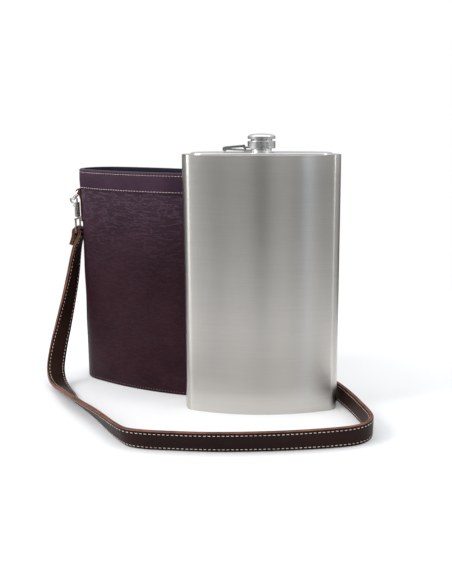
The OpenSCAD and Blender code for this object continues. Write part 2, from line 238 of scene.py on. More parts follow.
def link_new(name: str, data: bpy.types.ID) -> bpy.types.Object:
    """Makes an object of its data in the scene."""
    made = bpy.data.objects.new(name, data)
    bpy.context.scene.collection.objects.link(made)
    return made


def rgb(red: float, green: float, blue: float) -> tuple[float, float, float, float]:
    """A linear colour from the usual display values of 0 to 255."""
    def linear(value: float) -> float:
        """One channel, made linear."""
        share = value / 255
        return share / 12.92 if share <= 0.04045 else ((share + 0.055) / 1.055) ** 2.4

    return linear(red), linear(green), linear(blue), 1.0


# ---------------------------------------------------------------- finishes


@dataclass(frozen=True)
class Finish:
    """A surface finish. Each kind of finish says what its shader's sockets get."""

    name: str

    def sockets(self, graph: Graph) -> dict:
        """What the surface shader's sockets get, by name."""
        raise NotImplementedError

    def material(self) -> bpy.types.Material:
        """The finish as a material, made once."""
        made = bpy.data.materials.get(self.name)
        if made is not None:
            return made
        made = bpy.data.materials.new(self.name)
        graph = clear_graph(made)
        surface = graph.node("ShaderNodeBsdfPrincipled", {}, self.sockets(graph))
        graph.node("ShaderNodeOutputMaterial", {}, {"Surface": surface}, None)
        return made


@dataclass(frozen=True)
class BrushedSteel(Finish):
    """Stainless sheet with fine scratches that run round it."""

    colour: tuple = (0.56, 0.54, 0.51, 1.0)
    shaded: tuple = (0.50, 0.48, 0.452, 1.0)
    dull: float = 0.305
    drawn: float = 0.92

    def sockets(self, graph: Graph) -> dict:
        """Long thin scratches, a few worn spots, and reflections drawn out across the scratches."""
        scratches = graph.fuzz((14, 14, 1500), 3.0, 0.6)
        hairs = graph.fuzz((40, 40, 3600), 2.0, 0.6)
        clouds = graph.fuzz((16, 16, 7), 3.0, 0.55)
        brushed = scratches * 0.5 + hairs * 0.5
        return {
            "Base Color": graph.blend(brushed.vary(0.0, 1.0), self.shaded, self.colour),
            "Metallic": 1.0,
            "Roughness": brushed.vary(-0.02, 0.02) + clouds.vary(-0.01, 0.015) + self.dull,
            "Anisotropic": self.drawn,
            "Anisotropic Rotation": 0.25,
            "Normal": graph.bump(brushed, 0.003, 0.1),
        }


@dataclass(frozen=True)
class PolishedSteel(Finish):
    """Turned or pressed steel, polished, with a few fine marks."""

    colour: tuple = (0.66, 0.66, 0.655, 1.0)
    dull: float = 0.16

    def sockets(self, graph: Graph) -> dict:
        """Fine handling marks in the roughness and the height."""
        marks = graph.fuzz((140, 140, 900), 3.0, 0.6)
        smears = graph.fuzz((90, 90, 90), 2.0)
        return {
            "Base Color": graph.blend(smears, tuple(c * 0.93 for c in self.colour[:3]) + (1.0,), self.colour),
            "Metallic": 1.0,
            "Roughness": marks.vary(-0.03, 0.05) + smears.vary(-0.02, 0.03) + self.dull,
            "Normal": graph.bump(marks, 0.004, 0.12),
        }


@dataclass(frozen=True)
class GrainLeather(Finish):
    """Dyed leather with a pebbled grain, fine wrinkles and a waxed sheen."""

    colour: tuple = rgb(45, 21, 30)
    deep: tuple = rgb(33, 12, 19)
    dull: float = 0.43
    grain: float = 1.1
    wrinkle: float = 0.3
    shine: float = 0.1
    # How strongly a painted sheen near the rim and painted highlights along the wrinkles lighten the colour, and the
    # painted sheen's colour.
    painted_sheen: float = 0.0
    sheen_colour: tuple = rgb(104, 86, 104)

    def sockets(self, graph: Graph) -> dict:
        """Cells for the pebbles, stretched noise for the wrinkles, and slow noise for the dye.

        The creases of the wrinkles are painted a little darker, as painted shade. A painted sheen lightens the colour
        towards the rim, with painted highlights along the wrinkles there.
        """
        here = graph.places()
        pebbles = graph.cells(here, 1000 / self.grain).spread(0.0, 0.7, 0.0, 1.0)
        pores = graph.noise(here, 1900, 2.0)
        rolls = graph.noise(graph.places((55, 55, 260), 0.5), 1.0, 4.0, 0.62)
        creases = 1 - (rolls - 0.5).size().spread(0.0, 0.09, 0.0, 1.0)
        dye = graph.noise(here, 22, 3.0)
        height = 0.42 * pebbles + 0.18 * pores - self.wrinkle * creases
        # Painted shade: the creases of the wrinkles are a little darker.
        tone_and_crease_shade = dye.spread(0.35, 0.68, 0.0, 0.8) + 0.2 * pebbles - 0.12 * creases
        colour = graph.blend(tone_and_crease_shade.spread(0, 1, 0, 1), self.deep, self.colour)
        # Painted sheen: the colour lightens towards the rim, with painted highlights along the wrinkles there.
        if self.painted_sheen:
            near_rim = graph.parts(here)[2].spread(0.10, 0.205, 0.0, 1.0) ** 2
            wrinkle_highlights = 1 - (rolls - 0.5).size().spread(0.0, 0.035, 0.0, 1.0)
            share = (0.3 * near_rim + wrinkle_highlights * (0.55 * near_rim + 0.1)) * self.painted_sheen
            colour = graph.blend(share, colour, self.sheen_colour)
        return {
            "Base Color": colour,
            "Roughness": dye.vary(-0.04, 0.05) + 0.1 * pores + (self.dull - 0.05),
            "Normal": graph.bump(height, 0.2, 0.8),
            "Specular IOR Level": self.shine,
        }


@dataclass(frozen=True)
class PaintedEdge(Finish):
    """The burnished and painted cut edge of leather."""

    colour: tuple = rgb(124, 79, 60)
    deep: tuple = rgb(84, 50, 38)

    def sockets(self, graph: Graph) -> dict:
        """Brown paint, thin in places, over the fibres."""
        thin = graph.fuzz((60, 60, 60), 4.0, 0.6)
        fibres = graph.fuzz((900, 900, 900), 2.0)
        return {
            "Base Color": graph.blend(thin.spread(0.36, 0.64, 0.0, 1.0), self.deep, self.colour),
            "Roughness": fibres.vary(0.42, 0.6),
            "Specular IOR Level": 0.3,
            "Normal": graph.bump(fibres, 0.08, 0.5),
        }


@dataclass(frozen=True)
class Twill(Finish):
    """A dark woven lining."""

    colour: tuple = rgb(36, 36, 50)
    deep: tuple = rgb(22, 22, 33)
    pitch: float = 0.9

    def sockets(self, graph: Graph) -> dict:
        """Slanted ribs of thread, crossed by finer ones."""
        turns = math.tau / (self.pitch * MM)
        across, along, up = graph.parts(graph.places((1, 1, 1), math.radians(CARRIER_YAW)))
        ribs = ((across + along + up) * turns).sine() * 0.5 + 0.5
        picks = ((across + along - up * 0.4) * (turns * 2)).sine() * 0.5 + 0.5
        weave = 0.7 * ribs + 0.3 * picks
        return {
            "Base Color": graph.blend(weave, self.deep, self.colour),
            "Roughness": weave.spread(0.0, 1.0, 0.9, 0.75),
            "Specular IOR Level": 0.15,
            "Normal": graph.bump(weave, 0.12, 0.6),
        }


@dataclass(frozen=True)
class WaxedThread(Finish):
    """Cream sewing thread."""

    colour: tuple = rgb(236, 222, 210)
    deep: tuple = rgb(186, 162, 146)

    def sockets(self, graph: Graph) -> dict:
        """Twisted plies, a little soiled."""
        plies = graph.fuzz((2200, 2200, 2200), 1.0)
        soil = graph.fuzz((45, 45, 45), 3.0)
        return {
            "Base Color": graph.blend(soil.spread(0.3, 0.62, 0.15, 1.0) * plies.spread(0.2, 0.6, 0.7, 1.0),
                                      self.deep, self.colour),
            "Roughness": plies.vary(0.55, 0.75),
            "Normal": graph.bump(plies, 0.08, 0.5),
        }


@dataclass(frozen=True)
class PlainFibre(Finish):
    """A matt stuff whose colour, roughness and height follow one soft noise."""

    colour: tuple
    deep: tuple
    stretch: tuple[float, float, float]
    detail: float
    rough: float
    fade: tuple[float, float]
    dull: tuple[float, float]
    relief: tuple[float, float]

    def sockets(self, graph: Graph) -> dict:
        """Fibres and flecks, or a fine bloom."""
        fibres = graph.fuzz(self.stretch, self.detail, self.rough)
        return {
            "Base Color": graph.blend(fibres.spread(*self.fade, 0.0, 1.0), self.deep, self.colour),
            "Roughness": fibres.vary(*self.dull),
            "Normal": graph.bump(fibres, *self.relief),
        }


BODY_STEEL = BrushedSteel("flask_brushed_steel")
PLATE_STEEL = BrushedSteel("flask_plate_steel", (0.60, 0.59, 0.58, 1.0), (0.54, 0.53, 0.52, 1.0), 0.30, 0.2)
CAP_STEEL = PolishedSteel("cap_satin_steel", (0.66, 0.66, 0.65, 1.0), 0.27)
NECK_STEEL = PolishedSteel("neck_turned_steel", (0.62, 0.62, 0.61, 1.0), 0.2)
LINK_STEEL = PolishedSteel("link_pressed_steel", (0.78, 0.78, 0.77, 1.0), 0.24)
PIN_STEEL = PolishedSteel("pin_drawn_steel", (0.45, 0.45, 0.45, 1.0), 0.28)
FITTING_NICKEL = PolishedSteel("fitting_nickel", (0.82, 0.80, 0.75, 1.0), 0.2)
SPRING_STEEL = PolishedSteel("spring_wire", (0.4, 0.4, 0.41, 1.0), 0.3)
# The carrier's leather gets the painted sheen and the painted wrinkle highlights near its rim.
CARRIER_LEATHER = GrainLeather("carrier_leather_grain", painted_sheen=0.6)
BAND_LEATHER = GrainLeather("band_leather_grain", rgb(71, 50, 66), rgb(53, 35, 50), 0.4, 1.0, 0.06)
TAB_LEATHER = GrainLeather("tab_leather_grain", rgb(66, 44, 44), rgb(48, 30, 32), 0.45, 1.0, 0.05)
STRAP_LEATHER = GrainLeather("strap_leather_grain", rgb(38, 22, 20), rgb(26, 15, 14), 0.42, 0.8, 0.08, 0.06)
STRAP_LINING = GrainLeather("strap_lining_grain", rgb(48, 29, 23), rgb(33, 20, 16), 0.44, 0.9, 0.08, 0.06)
STRAP_EDGE = PaintedEdge("strap_painted_edge")
BAND_EDGE = PaintedEdge("band_cut_edge", rgb(60, 38, 40), rgb(40, 25, 28))
LINING = Twill("carrier_lining_twill")
THREAD = WaxedThread("seam_thread")
FOOT_THREAD = WaxedThread("foot_seam_thread", rgb(118, 88, 84), rgb(80, 56, 56))
BOARD = PlainFibre("stiffening_board", rgb(150, 118, 86), rgb(112, 84, 58), (500, 500, 160), 4.0, 0.65,
                   fade=(0.32, 0.66), dull=(0.8, 0.95), relief=(0.1, 0.6))
RUBBER = PlainFibre("cap_liner_rubber", rgb(40, 40, 42), rgb(24, 24, 25), (400, 400, 400), 3.0, 0.5,
                    fade=(0.0, 1.0), dull=(0.5, 0.68), relief=(0.03, 0.4))


# ---------------------------------------------------------------- shared modelling


@dataclass(frozen=True)
class Arc:
    """A round stretch of an outline."""

    centre: tuple[float, float]
    radius: float
    start: float
    sweep: float
    steps: int

    @property
    def length(self) -> float:
        """How long the stretch is."""
        return self.radius * abs(self.sweep)

    def place(self, share: float) -> tuple[Vector, Vector]:
        """The point at a share of the stretch, and the way outwards there."""
        angle = self.start + self.sweep * share
        outward = Vector((math.cos(angle), math.sin(angle), 0.0))
        return Vector((*self.centre, 0.0)) + outward * self.radius, outward

    def spin(self, bm: BMesh, z: float) -> None:
        """Spins a vertex round the stretch at a height."""
        seed = bmesh.ops.create_vert(bm, co=self.place(0.0)[0] + Vector((0, 0, z)))["vert"]
        bmesh.ops.spin(bm, geom=seed, cent=(*self.centre, z), axis=(0, 0, 1), angle=self.sweep, steps=self.steps)


@dataclass(frozen=True)
class LensOutline:
    """A closed outline of two bowed faces and two rounded ends."""

    half_width: float
    half_depth: float
    face_r: float
    end_r: float
    face_steps: int = 30
    end_steps: int = 16

    def arcs(self, grow: float = 0.0, draw_in: float = 0.0) -> list[Arc]:
        """The outline's four stretches, anticlockwise from the right end.

        Args:
            grow: How far the outline is moved outwards.
            draw_in: How far the ends' centres are moved inwards.

        Returns:
            The right end, the back, the left end and the front.
        """
        end_x = self.half_width - self.end_r - draw_in
        face_y = self.face_r - self.half_depth
        face, end, apart = self.face_r + grow, self.end_r + grow, math.hypot(end_x, face_y)
        turn = math.acos(min(1.0, (face**2 + apart**2 - end**2) / (2 * face * apart)))
        a = math.atan2(face_y, end_x) - turn
        b = math.atan2(face * math.sin(a) - face_y, face * math.cos(a) - end_x)
        return [
            Arc((end_x, 0), end, -b, 2 * b, self.end_steps),
            Arc((0, -face_y), face, a, math.pi - 2 * a, self.face_steps),
            Arc((-end_x, 0), end, math.pi - b, 2 * b, self.end_steps),
            Arc((0, face_y), face, math.pi + a, math.pi - 2 * a, self.face_steps),
        ]

    def draw(self, bm: BMesh, z: float, grow: float = 0.0, draw_in: float = 0.0) -> list[BMEdge]:
        """Draws the outline at a height.

        Args:
            bm: The mesh to draw in.
            z: The height.
            grow: How far the outline is moved outwards.
            draw_in: How far the ends' centres are moved inwards.

        Returns:
            The closed loop's edges.
        """
        old_edges, old_verts = set(bm.edges), set(bm.verts)
        for arc in self.arcs(grow, draw_in):
            arc.spin(bm, z)
        bmesh.ops.remove_doubles(bm, verts=[v for v in bm.verts if v not in old_verts], dist=0.001)
        return [e for e in bm.edges if e not in old_edges]

    def walk(self, pitch: float, grow: float = 0.0) -> Iterable[tuple[Vector, Vector]]:
        """Steps round the outline at an even pitch, which is adjusted to close.

        Args:
            pitch: About how long a step is.
            grow: How far the outline is moved outwards.

        Yields:
            Each point, and the way outwards there.
        """
        arcs = self.arcs(grow)
        whole = sum(arc.length for arc in arcs)
        count = round(whole / pitch)
        for i in range(count):
            left = whole * i / count
            for arc in arcs:
                if left <= arc.length:
                    yield arc.place(left / arc.length)
                    break
                left -= arc.length


def round_end(half_width: float, half_depth: float, face_r: float) -> float:
    """The radius of an outline's ends at which they run smoothly into its faces."""
    return (face_r**2 - half_width**2 - (face_r - half_depth) ** 2) / (2 * (face_r - half_width))


def loft(bm: BMesh, loops: Sequence[Sequence[BMEdge]]) -> None:
    """Skins each loop to the next."""
    for lower, upper in zip(loops, loops[1:]):
        bmesh.ops.bridge_loops(bm, edges=[*lower, *upper])


def close_loop(bm: BMesh, loop: Sequence[BMEdge]) -> None:
    """Fills a closed loop with one face."""
    bmesh.ops.edgeloop_fill(bm, edges=list(loop))


def round_edges(bm: BMesh, edges: Sequence[BMEdge], width: float, segments: int) -> None:
    """Rounds edges to a width."""
    bmesh.ops.bevel(bm, geom=list(edges), offset=width, offset_type="OFFSET", segments=segments, profile=0.5,
                    affect="EDGES", material=-1, clamp_overlap=True)


def point_outwards(bm: BMesh) -> None:
    """Merges doubles and turns every face outwards."""
    bmesh.ops.remove_doubles(bm, verts=bm.verts, dist=0.0005)
    bmesh.ops.recalc_face_normals(bm, faces=bm.faces)


def publish(bm: BMesh, name: str, body: str, slot: Slot, finishes: Sequence[Finish],
            stands_for: Sequence[str] = (), sharp: float = 38.0) -> bpy.types.Object:
    """Turns a mesh in millimetres into a finished piece of the frame.

    Args:
        bm: The mesh, which is freed.
        name: The piece's name.
        body: The body that it rides on.
        slot: The slot for its finish; not used.
        finishes: Its materials, by face index.
        stands_for: The nodes that it replaces.
        sharp: Edges that turn more than this many degrees stay crisp.

    Returns:
        The piece.
    """
    bmesh.ops.scale(bm, vec=(MM, MM, MM), verts=bm.verts)
    limit = math.radians(sharp)
    for face in bm.faces:
        face.smooth = True
    for edge in bm.edges:
        edge.smooth = not (edge.is_manifold and edge.calc_face_angle(0.0) > limit)
    mesh = bpy.data.meshes.new(name)
    bm.to_mesh(mesh)
    bm.free()
    piece = link_new(name, mesh)
    for finish in finishes:
        mesh.materials.append(finish.material())
    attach(piece, body)
    if stands_for:
        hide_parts(*stands_for)
    LOG.info("%s: %d faces on %s", name, len(mesh.polygons), body)
    return piece


def thicken(piece: bpy.types.Object, thickness: float) -> None:
    """Gives a sheet its thickness, inwards from its outer face."""
    wall = piece.modifiers.new("wall", "SOLIDIFY")
    wall.thickness = thickness * MM
    wall.offset = -1.0
    wall.use_even_offset = True


def soften(piece: bpy.types.Object, width: float, segments: int = 2, angle: float = 40.0) -> None:
    """Rounds a piece's crisp edges by a live bevel."""
    bevel = piece.modifiers.new("worn_edges", "BEVEL")
    bevel.width = width * MM
    bevel.segments = segments
    bevel.limit_method = "ANGLE"
    bevel.angle_limit = math.radians(angle)
    bevel.harden_normals = False


def dress(node: str, finish: Finish) -> None:
    """Gives a node that stays in sight its finish."""
    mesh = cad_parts[node].data
    mesh.materials.clear()
    mesh.materials.append(finish.material())
    LOG.info("%s: dressed in %s", node, finish.name)


def refine(node: str, piece: str, body: str, slot: Slot, finish: Finish) -> bpy.types.Object:
    """Stands a merged and smoothly shaded copy in for a node.

    Args:
        node: The node.
        piece: The copy's name.
        body: The body that it rides on.
        slot: The slot, which is passed on to publish.
        finish: Its material.

    Returns:
        The copy.
    """
    bm = bmesh.new()
    bm.from_mesh(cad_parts[node].data)
    bmesh.ops.scale(bm, vec=(1 / MM, 1 / MM, 1 / MM), verts=bm.verts)
    bmesh.ops.remove_doubles(bm, verts=bm.verts, dist=0.0008)
    bmesh.ops.dissolve_degenerate(bm, edges=bm.edges, dist=0.0008)
    for face in bm.faces:
        face.material_index = 0
    return publish(bm, piece, body, slot, [finish], [node], 30.0)


@dataclass(frozen=True)
class Stitch:
    """One visible stitch of a seam."""

    length: float
    width: float
    height: float

    def sew(self, bm: BMesh, place: Vector, along: Vector, outward: Vector) -> None:
        """Lays a stitch on a surface.

        Args:
            bm: The seam's mesh.
            place: The middle of the stitch, on the surface.
            along: The way that the seam runs.
            outward: The way off the surface.
        """
        across = outward.cross(along).normalized()
        matrix = Matrix.Translation(place) @ Matrix((along, across, outward)).transposed().to_4x4()
        size = Matrix.Diagonal((self.length / 2, self.width / 2, self.height / 2, 1.0))
        bmesh.ops.create_uvsphere(bm, u_segments=8, v_segments=6, radius=1.0, matrix=matrix @ size)


# ---------------------------------------------------------------- flask


@dataclass
class Flask:
    """The brushed steel body, its top plate with the raised middle, and the neck."""

    outline: LensOutline = LensOutline(76.0, 28.5, 182.0, 20.8)
    height: float = 251.5
    sheet: float = 0.8
    top_round: float = 2.2
    foot_round: float = 0.9
    crease_round: float = 2.4
    seat_z: float = 251.3
    plateau_z: float = 253.5
    neck_r: float = 8.12

    def build(self) -> None:
        """Makes every piece of the flask."""
        self.build_wall()
        self.build_top()
        dress("base_plate", PLATE_STEEL)
        refine("neck", "neck_thread", "flask", Slot.NECK_STEEL, NECK_STEEL)
        refine("hinge_bracket", "neck_bracket", "flask", Slot.LINK_STEEL, LINK_STEEL)
        refine("bracket_pin", "neck_bracket_pin", "flask", Slot.PIN_STEEL, PIN_STEEL)

    def build_wall(self) -> None:
        """The side wall, with its top edge rolled in, its foot eased and its four creases softened."""
        bm = bmesh.new()
        loop = self.outline.draw(bm, 0.0)
        close_loop(bm, loop)
        raised = bmesh.ops.extrude_face_region(bm, geom=list(bm.faces))["geom"]
        bmesh.ops.translate(bm, vec=(0, 0, self.height), verts=[v for v in raised if isinstance(v, BMVert)])
        point_outwards(bm)
        upright = [e for e in bm.edges if abs(e.verts[0].co.z - e.verts[1].co.z) > 1 and e.calc_face_angle() > 0.25]
        round_edges(bm, upright, self.crease_round, 5)
        round_edges(bm, self._level_edges(bm, self.height), self.top_round, 5)
        round_edges(bm, self._level_edges(bm, 0.0), self.foot_round, 3)
        ends = [f for f in bm.faces if abs(f.normal.z) > 0.999]
        bmesh.ops.delete(bm, geom=ends, context="FACES_ONLY")
        walls = [e for e in bm.edges if abs(e.verts[0].co.z - e.verts[1].co.z) > 100]
        bmesh.ops.subdivide_edges(bm, edges=walls, cuts=11, use_grid_fill=True)
        piece = publish(bm, "flask_wall", "flask", Slot.BODY_STEEL, [BODY_STEEL], ["front_shell", "back_shell"])
        thicken(piece, self.sheet)

    @staticmethod
    def _level_edges(bm: BMesh, z: float) -> list[BMEdge]:
        """The edges that lie at a height."""
        return [e for e in bm.edges if all(abs(v.co.z - z) < 0.01 for v in e.verts)]

    def build_top(self) -> None:
        """The top plate: a narrow seat along the wall, a raised middle and the neck's hole."""
        inset = self.top_round + 0.12
        bm = bmesh.new()
        seat, plateau = self.seat_z, self.plateau_z
        rise = [(seat - 0.6, -inset, 0.0), (seat, -inset, 0.0), (seat, -3.6, 3.6), (seat + 0.25, -4.0, 4.0),
                (plateau - 0.7, -4.3, 4.3), (plateau - 0.2, -4.7, 4.7), (plateau, -5.5, 5.5)]
        under = [(plateau - 0.5, -6.0, 5.6), (seat - 0.3, -5.0, 5.0), (seat - 0.6, -inset - 0.5, 0.0)]
        upper = [self.outline.draw(bm, *level) for level in rise]
        lower = [self.outline.draw(bm, *level) for level in under] + [upper[0]]
        holes = [self._draw_hole(bm, self.plateau_z), self._draw_hole(bm, self.plateau_z - 0.5)]
        loft(bm, upper)
        loft(bm, lower)
        loft(bm, holes)
        for outer, hole in ((upper[-1], holes[0]), (lower[0], holes[1])):
            bmesh.ops.triangle_fill(bm, edges=[*outer, *hole], use_beauty=True)
        point_outwards(bm)
        publish(bm, "flask_top", "flask", Slot.PLATE_STEEL, [PLATE_STEEL], ["top_plate"], 25.0)

    def _draw_hole(self, bm: BMesh, z: float) -> list[BMEdge]:
        """The edge of the neck's hole at a height."""
        place = Matrix.Translation((0, 0, z))
        verts = bmesh.ops.create_circle(bm, cap_ends=False, radius=self.neck_r, segments=48, matrix=place)["verts"]
        return list({edge for vert in verts for edge in vert.link_edges})


@dataclass
class Closure:
    """The screw cap, the ring that keeps it, and the two folding links."""

    edge: float = 0.18

    def build(self) -> None:
        """Makes every piece of the closure."""
        cap = refine("cap_shell", "cap_crown", "cap", Slot.CAP_STEEL, CAP_STEEL)
        soften(cap, self.edge, 3)
        refine("cap_insert", "cap_thread", "cap", Slot.NECK_STEEL, NECK_STEEL)
        dress("cap_liner", RUBBER)
        ring = refine("cap_ring", "cap_keeper_ring", "cap_ring", Slot.CAP_STEEL, CAP_STEEL)
        soften(ring, self.edge, 3)
        refine("ring_pin", "keeper_ring_pin", "cap_ring", Slot.PIN_STEEL, PIN_STEEL)
        soften(refine("lower_link", "retaining_link_lower", "lower_link", Slot.LINK_STEEL, LINK_STEEL), self.edge)
        soften(refine("upper_link", "retaining_link_upper", "upper_link", Slot.LINK_STEEL, LINK_STEEL), self.edge)
        refine("knuckle_pin", "retaining_link_pin", "upper_link", Slot.PIN_STEEL, PIN_STEEL)


# ---------------------------------------------------------------- carrier


@dataclass
class Carrier:
    """The oval leather carrier with its sewn rim band, lining, seams and end tabs."""

    outline: LensOutline = LensOutline(83.2, 34.2, 286.0, round_end(83.2, 34.2, 286.0), 36, 20)
    place: tuple[float, float] = (-119.0, 82.0)
    yaw: float = CARRIER_YAW
    height: float = 231.5
    leather: float = 1.6
    band_low: float = 210.5
    band_out: float = 1.2
    seam_pitch: float = 3.4

    def stand(self, bm: BMesh) -> None:
        """Turns and moves a mesh from the carrier's middle to where the carrier stands."""
        matrix = Matrix.Translation((*self.place, 0)) @ Matrix.Rotation(-math.radians(self.yaw), 4, "Z")
        bmesh.ops.transform(bm, matrix=matrix, verts=bm.verts)

    def build(self) -> None:
        """Makes every piece of the carrier."""
        self.build_wall()
        self.build_band()
        self.build_seam("rim_stitches_upper", "rim_thread_upper", self.height - 3.2, self.band_out)
        self.build_seam("rim_stitches_lower", "rim_thread_lower", self.band_low + 1.6, self.band_out)
        self.build_seam("foot_stitches", "base_thread", 2.9, 0.0, FOOT_THREAD)
        for side in Side:
            self.build_tab(side)
        for node in ("carrier_lining", "base_lining"):
            dress(node, LINING)
        for node in ("carrier_stiffener", "base_board"):
            dress(node, BOARD)

    def sag(self, at: Vector) -> float:
        """How far the leather stands off its even wall at a place in the carrier's own frame.

        Args:
            at: The place, before the carrier is turned.

        Returns:
            The distance, outwards.
        """
        belly = -0.75 * math.sin(math.pi * min(1.0, at.z / self.band_low)) * math.cos(at.x / 60) ** 2
        below = (self.band_low - at.z) / 17
        pinch = math.exp(-below * below) if below > 0 else 0.0
        folds = 0.30 * math.sin(at.x / 5.1 + at.z / 3.3) + 0.22 * math.sin(at.x / 3.1 - at.z / 4.7 + 1.3)
        slack = 0.16 * math.sin(at.z / 13 + at.x / 31) + 0.12 * math.sin(at.z / 7.7 - at.x / 23 + 2.0)
        return belly + pinch * folds + slack * min(1.0, at.z / 25)

    def build_wall(self) -> None:
        """The outer leather as a cup, with its foot rounded and its wall a little slack."""
        bm = bmesh.new()
        levels = [(0.0, -1.6), (0.12, -0.8), (0.5, -0.3), (1.2, 0.0)]
        levels += [(z, 0.0) for z in range(6, 156, 6)]
        levels += [(z, 0.0) for z in range(156, 212, 2)]
        levels += [(self.height - self.band_out - 0.2, 0.0)]
        loops = [self.outline.draw(bm, z, grow) for z, grow in levels]
        loft(bm, loops)
        close_loop(bm, loops[0])
        point_outwards(bm)
        for vert in bm.verts:
            if 1.0 < vert.co.z < self.band_low - 0.5:
                out = Vector((vert.co.x / self.outline.half_width**2, vert.co.y / self.outline.half_depth**2, 0))
                vert.co += out.normalized() * self.sag(vert.co)
        self.stand(bm)
        piece = publish(bm, "carrier_leather_wall", "carrier", Slot.CARRIER_LEATHER, [CARRIER_LEATHER],
                        ["carrier_shell", "carrier_base"])
        thicken(piece, self.leather)

    def build_band(self) -> None:
        """The band round the rim, folded over the edge to the lining."""
        bm = bmesh.new()
        out, top = self.band_out, self.height
        section = [
            (0.15, self.band_low), (out - 0.25, self.band_low), (out, self.band_low + 0.25),
            (out + 0.05, self.band_low + 0.8), (out - 0.12, self.band_low + 1.6), (out + 0.05, self.band_low + 2.6),
            (out + 0.3, self.band_low + 9), (out + 0.1, top - 4.6), (out - 0.12, top - 3.2), (out, top - 2.0),
            (out - 0.1, top - 1.0), (out - 0.5, top - 0.35), (out - 1.2, top), (-2.4, top + 0.05),
            (-3.2, top - 0.3), (-3.55, top - 1.0), (-3.6, top - 4.0), (-3.3, top - 4.2),
        ]
        loops = [self.outline.draw(bm, z, grow) for grow, z in section]
        loft(bm, loops)
        point_outwards(bm)
        lowest = self.band_low + 0.2
        for face in bm.faces:
            middle = face.calc_center_median()
            if middle.z < lowest:
                face.material_index = 1
            elif middle.xy.dot(face.normal.xy) < 0 and middle.z < top - 0.4:
                face.material_index = 2
        self.stand(bm)
        piece = publish(bm, "rim_band_leather", "carrier", Slot.BAND_LEATHER, [BAND_LEATHER, BAND_EDGE, LINING],
                        ["rim_band"])
        thicken(piece, 0.3)

    def build_seam(self, name: str, node: str, z: float, out: float, thread: Finish = THREAD) -> None:
        """One row of stitches round the carrier.

        Args:
            name: The piece's name.
            node: The node that it stands for.
            z: The height of the row.
            out: How far off the wall the sewn leather's face lies.
            thread: The thread's finish.
        """
        draws = random.Random(name)
        bm = bmesh.new()
        stitch = Stitch(2.1, 0.62, 0.5)
        for point, outward in self.outline.walk(self.seam_pitch, out):
            slant = math.radians(draws.uniform(4, 9))
            along = Vector((-outward.y * math.cos(slant), outward.x * math.cos(slant), math.sin(slant)))
            stitch.sew(bm, point + Vector((0, 0, z + draws.uniform(-0.08, 0.08))), along, outward)
        self.stand(bm)
        publish(bm, name, "carrier", Slot.THREAD, [thread], [node])

    def end_wall(self, side: Side) -> Vector:
        """The middle of a tab's seat: the point of the wall that faces along X."""
        arc = self.outline.arcs()[0 if side is Side.RIGHT else 2]
        reach = math.radians(self.yaw)
        centre = Matrix.Rotation(-reach, 3, "Z") @ Vector((*arc.centre, 0))
        return centre + Vector((*self.place, 0)) + Vector((side.value * self.outline.end_r, 0, 0))

    def build_tab(self, side: Side) -> None:
        """A leather tab that hugs the wall and loops round the D-ring's straight side."""
        low_z, pivot_z, out, half, thick = 174.0, 207.0, 2.8, 6.3, 1.55
        ring = 1.22
        bm = bmesh.new()
        outer = [(thick + 0.05, low_z + 0.6), (thick, low_z + 2), (thick, pivot_z - 9), (2.4, pivot_z - 4.2)]
        outer += [(out + (ring + 1.45) * math.cos(a), pivot_z + (ring + 1.45) * math.sin(a))
                  for a in (math.radians(d) for d in range(-50, 181, 23))]
        outer += [(0.12, pivot_z - 3), (0.05, low_z + 0.3), (0.5, low_z)]
        verts = [bm.verts.new((x, -half, z)) for x, z in outer]
        face = bm.faces.new(verts)
        made = bmesh.ops.extrude_face_region(bm, geom=[face])["geom"]
        bmesh.ops.translate(bm, vec=(0, 2 * half, 0), verts=[v for v in made if isinstance(v, BMVert)])
        point_outwards(bm)
        for f in bm.faces:
            f.material_index = 1 if abs(f.normal.y) > 0.9 else 0
        rails = [e for e in bm.edges if abs(e.verts[0].co.y - e.verts[1].co.y) > 1]
        bmesh.ops.subdivide_edges(bm, edges=rails, cuts=7)
        rims = [e for e in bm.edges if all(abs(abs(v.co.y) - half) < 0.01 for v in e.verts)]
        round_edges(bm, rims, 0.35, 2)
        end_r = self.outline.end_r
        for vert in bm.verts:
            hug = min(1.0, max(0.0, (pivot_z - 3 - vert.co.z) / 6))
            vert.co.x -= hug * (end_r - math.sqrt(end_r**2 - vert.co.y**2))
        at = self.end_wall(side)
        turn = Matrix.Rotation(0.0 if side is Side.RIGHT else math.pi, 4, "Z")
        bmesh.ops.transform(bm, matrix=Matrix.Translation(at) @ turn, verts=bm.verts)
        publish(bm, f"{side.word}_tab_leather", "carrier", Slot.BAND_LEATHER, [TAB_LEATHER, STRAP_EDGE],
                [f"{side.word}_tab"])
        self.build_tab_stitches(side, at, low_z, pivot_z - 8, half - 1.6, thick)

    def build_tab_stitches(self, side: Side, at: Vector, low: float, high: float, reach: float,
                           thick: float) -> None:
        """A U of stitches that holds a tab to the wall."""
        bm = bmesh.new()
        stitch = Stitch(2.1, 0.6, 0.45)
        end_r = self.outline.end_r

        def sew(y: float, z: float, along: Vector) -> None:
            """Sews one stitch on the tab's face."""
            bow = end_r - math.sqrt(end_r**2 - y**2)
            spot = at + Vector((side.value * (thick - bow), y, z))
            stitch.sew(bm, spot, along, Vector((side.value, 0, 0)))

        rows = int((high - low - 3) / 2.9)
        for i in range(rows):
            for y in (-reach, reach):
                sew(y, low + 3.4 + 2.9 * i, Vector((0, 0, 1)))
        for y in (-2.9, 0.0, 2.9):
            sew(y, low + 2.1, Vector((0, 1, 0)))
        publish(bm, f"{side.word}_tab_stitches", "carrier", Slot.THREAD, [THREAD])


# ---------------------------------------------------------------- fittings


